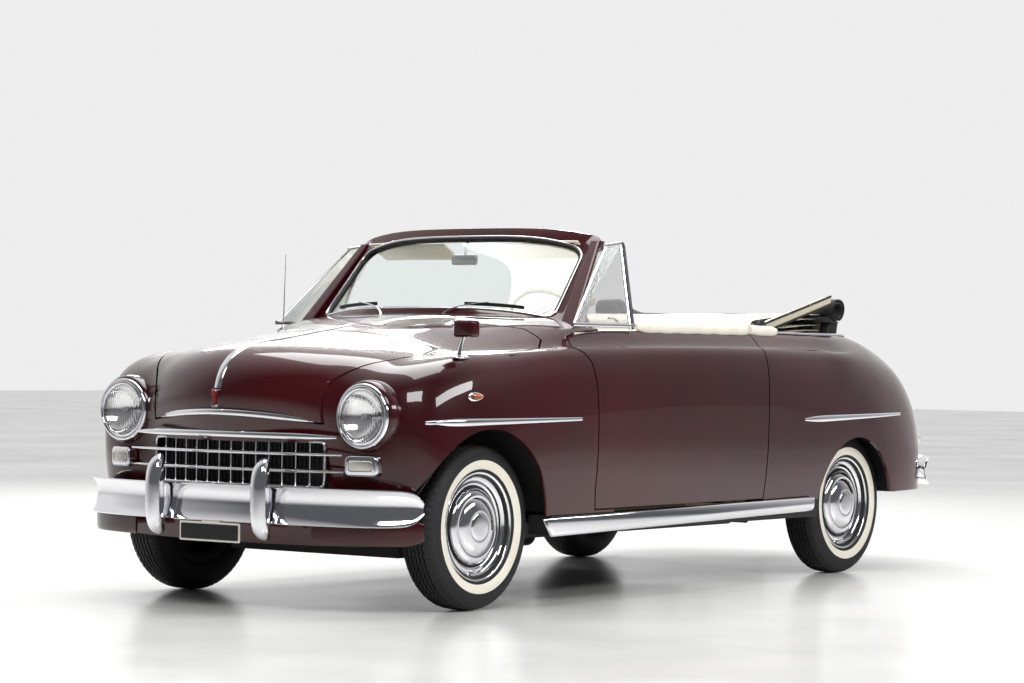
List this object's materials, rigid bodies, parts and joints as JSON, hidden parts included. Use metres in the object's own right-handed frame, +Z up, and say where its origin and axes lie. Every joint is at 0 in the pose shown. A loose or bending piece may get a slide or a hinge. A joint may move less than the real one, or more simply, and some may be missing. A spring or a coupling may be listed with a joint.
{
  "type": "open two-door convertible car",
  "caption": "Full-size 1950s two-door convertible with folded soft top, rounded fenders, barred grille, opening doors, hood and trunk lid, turning wheels and steering",
  "frame": {"origin": "Centre of the car's bounding box in plan, on the ground under the tyres", "axes": "+Z up, the nose points to -Y, the car's left side is +X"},
  "size_m": [1.6574, 4.284, 1.43],
  "materials": {
    "body_paint": "gloss burgundy paint",
    "black_steel": "satin black paint",
    "chrome": "polished",
    "glass": "clear",
    "lamp_lens": "ribbed",
    "tyre": "black with white sidewall",
    "cream_leather": "soft grain",
    "cream_cloth": "woven lining",
    "black_cloth": "top cloth",
    "top_steel": "cream paint",
    "dash_paint": "cream paint",
    "ivory": "gloss ivory",
    "iron": "painted block",
    "steel": "dull steel",
    "plate": "blank plate"
  },
  "bodies": {
    "body": {"bumper_guards": "chrome", "chassis_frame": "black_steel", "cowl": "body_paint", "dashboard": "dash_paint", "engine_block": "iron", "exhaust": "steel", "fender_mirror": "body_paint", "firewall": "black_steel", "floor_pan": "black_steel", "front_bumper": "chrome", "front_fender_left": "body_paint", "front_fender_right": "body_paint", "front_seats": "cream_leather", "front_suspension": "black_steel", "fuel_tank": "black_steel", "grille": "chrome", "headlamp_lenses": "glass", "headlamps": "chrome", "inner_panels": "black_steel", "interior_mirror": "chrome", "nose_panel": "body_paint", "plates": "plate", "propeller_shaft": "black_steel", "rear_axle": "black_steel", "rear_bumper": "chrome", "rear_deck": "body_paint", "rear_quarter_left": "body_paint", "rear_quarter_right": "body_paint", "rear_seat": "cream_leather", "rear_springs": "black_steel", "signal_lamps": "lamp_lens", "sill_mouldings": "chrome", "sills": "black_steel", "steering_column": "black_steel", "top_lining": "cream_cloth", "top_rails": "top_steel", "top_roll": "black_cloth", "windshield_frame": "body_paint", "windshield_glass": "glass"},
    "hood": {"hood": "body_paint"},
    "trunk_lid": {"trunk_lid": "body_paint"},
    "door_left": {"door_left": "body_paint", "vent_frame_left": "chrome", "vent_glass_left": "glass"},
    "door_right": {"door_right": "body_paint", "vent_frame_right": "chrome", "vent_glass_right": "glass"},
    "knuckle_left": {"knuckle_left": "black_steel"},
    "knuckle_right": {"knuckle_right": "black_steel"},
    "steering_wheel": {"steering_wheel": "ivory"},
    "wheel_front_left": {"tyre_front_left": "tyre", "wheel_front_left": "chrome"},
    "wheel_front_right": {"tyre_front_right": "tyre", "wheel_front_right": "chrome"},
    "wheel_rear_left": {"tyre_rear_left": "tyre", "wheel_rear_left": "chrome"},
    "wheel_rear_right": {"tyre_rear_right": "tyre", "wheel_rear_right": "chrome"}
  },
  "joints": [
    {"name": "hood_hinge", "type": "hinge", "parent": "body", "child": "hood", "pos_m": [0, -1.02, 1.04], "axis": [-1, 0, 0], "range_deg": [0, 50]},
    {"name": "trunk_hinge", "type": "hinge", "parent": "body", "child": "trunk_lid", "pos_m": [0, 1.485, 1.045], "axis": [1, 0, 0], "range_deg": [0, 60]},
    {"name": "door_left_hinge", "type": "hinge", "parent": "body", "child": "door_left", "pos_m": [0.81, -0.93, 0.64], "axis": [0, 0, -1], "range_deg": [0, 65]},
    {"name": "door_right_hinge", "type": "hinge", "parent": "body", "child": "door_right", "pos_m": [-0.81, -0.93, 0.64], "axis": [0, 0, 1], "range_deg": [0, 65]},
    {"name": "steer_left", "type": "hinge", "parent": "body", "child": "knuckle_left", "pos_m": [0.6, -1.47, 0.303], "axis": [0, 0, 1], "range_deg": [-28, 28]},
    {"name": "steer_right", "type": "hinge", "parent": "body", "child": "knuckle_right", "pos_m": [-0.6, -1.47, 0.303], "axis": [0, 0, 1], "range_deg": [-28, 28]},
    {"name": "steering_wheel_turn", "type": "hinge", "parent": "body", "child": "steering_wheel", "pos_m": [0.38, -0.5355, 1.0055], "axis": [0, 0.866, 0.5], "range_deg": [-420, 420]},
    {"name": "roll_front_left", "type": "hinge", "parent": "knuckle_left", "child": "wheel_front_left", "pos_m": [0.663, -1.47, 0.303], "axis": [1, 0, 0], "continuous": true},
    {"name": "roll_front_right", "type": "hinge", "parent": "knuckle_right", "child": "wheel_front_right", "pos_m": [-0.663, -1.47, 0.303], "axis": [1, 0, 0], "continuous": true},
    {"name": "roll_rear_left", "type": "hinge", "parent": "body", "child": "wheel_rear_left", "pos_m": [0.663, 1.18, 0.303], "axis": [1, 0, 0], "continuous": true},
    {"name": "roll_rear_right", "type": "hinge", "parent": "body", "child": "wheel_rear_right", "pos_m": [-0.663, 1.18, 0.303], "axis": [1, 0, 0], "continuous": true}
  ],
  "couplings": [
    {"joint": "steer_right", "follows": "steer_left", "ratio": 1},
    {"joint": "steering_wheel_turn", "follows": "steer_left", "ratio": 15}
  ]
}
